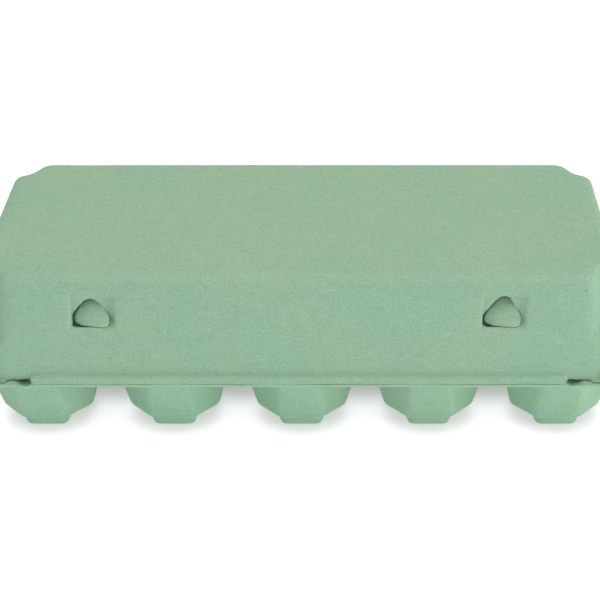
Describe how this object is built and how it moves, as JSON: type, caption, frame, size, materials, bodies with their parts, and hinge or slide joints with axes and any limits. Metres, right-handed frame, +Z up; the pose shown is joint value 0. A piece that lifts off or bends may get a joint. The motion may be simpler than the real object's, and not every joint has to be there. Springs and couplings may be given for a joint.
{
  "type": "egg carton",
  "caption": "Moulded pulp egg carton: a tray of eight-sided cups on small feet under a hinged lid with stepped corners and latch windows.",
  "frame": {"origin": "centre of the carton's outline, on the surface that its feet stand on", "axes": "+X along the carton's length, -Y towards the front with the latch windows, +Z up"},
  "size_m": [0.242, 0.1056, 0.0724],
  "materials": {
    "tray_pulp": "matte moulded paper pulp, pale sage green, fine fibres",
    "lid_pulp": "matte moulded paper pulp, pale sage green, fine fibres"
  },
  "bodies": {
    "tray": {"rim": "tray_pulp", "cups_front": "tray_pulp", "cups_rear": "tray_pulp", "posts": "tray_pulp", "flap": "tray_pulp"},
    "lid": {"lid": "lid_pulp"}
  },
  "joints": [
    {"name": "lid_hinge", "type": "hinge", "parent": "tray", "child": "lid", "pos_m": [0, 0.053, 0.03315], "axis": [-1, 0, 0], "range_deg": [0, 155]}
  ]
}
